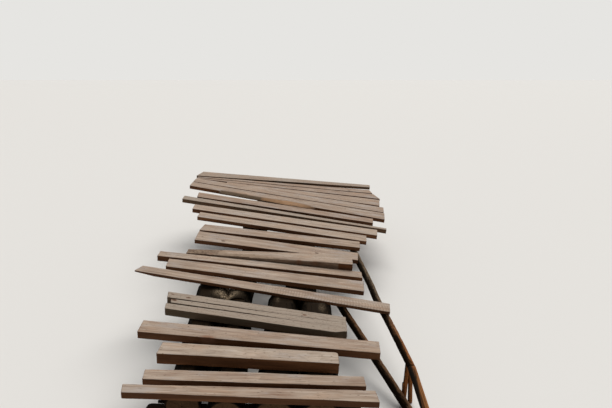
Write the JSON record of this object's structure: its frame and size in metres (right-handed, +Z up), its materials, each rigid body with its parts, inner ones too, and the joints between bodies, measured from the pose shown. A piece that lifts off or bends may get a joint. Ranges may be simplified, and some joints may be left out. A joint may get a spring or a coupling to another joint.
{
  "type": "wooden jetty",
  "caption": "Low home-made wooden jetty: loose, unequal boards laid across hewn logs on a sleeper, stumps and a post trestle, with poles at one side.",
  "frame": {"origin": "middle of the flat underside of the shore sleeper, at ground level", "axes": "+Z up, +Y along the jetty out from the shore, +X to the right seen from the shore"},
  "size_m": [2.404, 4.3251, 0.7802],
  "materials": {
    "sawn_board": "dry sawn softwood, bare, with grain and small knots",
    "weathered_timber": "old softwood, grey-green and cracked",
    "split_slab": "split softwood face with bark below",
    "barkless_pole": "softwood pole with the bark gone, orange-brown",
    "bark_pole": "thin pole with dark bark",
    "bark_log": "log with dark damp bark, hewn flat above"
  },
  "bodies": {
    "root": {"deck_board_01": "sawn_board", "deck_board_02": "sawn_board", "deck_board_03": "sawn_board", "deck_board_04": "sawn_board", "deck_board_05": "weathered_timber", "deck_board_06": "sawn_board", "deck_board_07": "sawn_board", "deck_board_08": "sawn_board", "deck_board_09": "split_slab", "deck_board_10": "sawn_board", "deck_board_11": "sawn_board", "deck_board_12": "sawn_board", "deck_board_13": "sawn_board", "deck_board_14": "weathered_timber", "deck_board_15": "sawn_board", "deck_board_16": "sawn_board", "deck_board_17": "sawn_board", "deck_board_18": "sawn_board", "deck_board_19": "sawn_board", "deck_board_20": "sawn_board", "deck_board_21": "sawn_board", "far_cap": "bark_log", "far_log_left": "bark_log", "far_log_right": "bark_log", "far_post_left": "bark_pole", "far_post_right": "bark_pole", "forked_prop": "bark_pole", "inner_pole": "bark_pole", "middle_stump_left": "bark_log", "middle_stump_right": "bark_log", "near_log_left_inner": "bark_log", "near_log_left_outer": "bark_log", "near_log_right_inner": "bark_log", "near_log_right_outer": "bark_log", "outer_pole": "bark_pole", "outer_pole_foot": "barkless_pole", "shore_sleeper": "bark_log"}
  },
  "joints": []
}
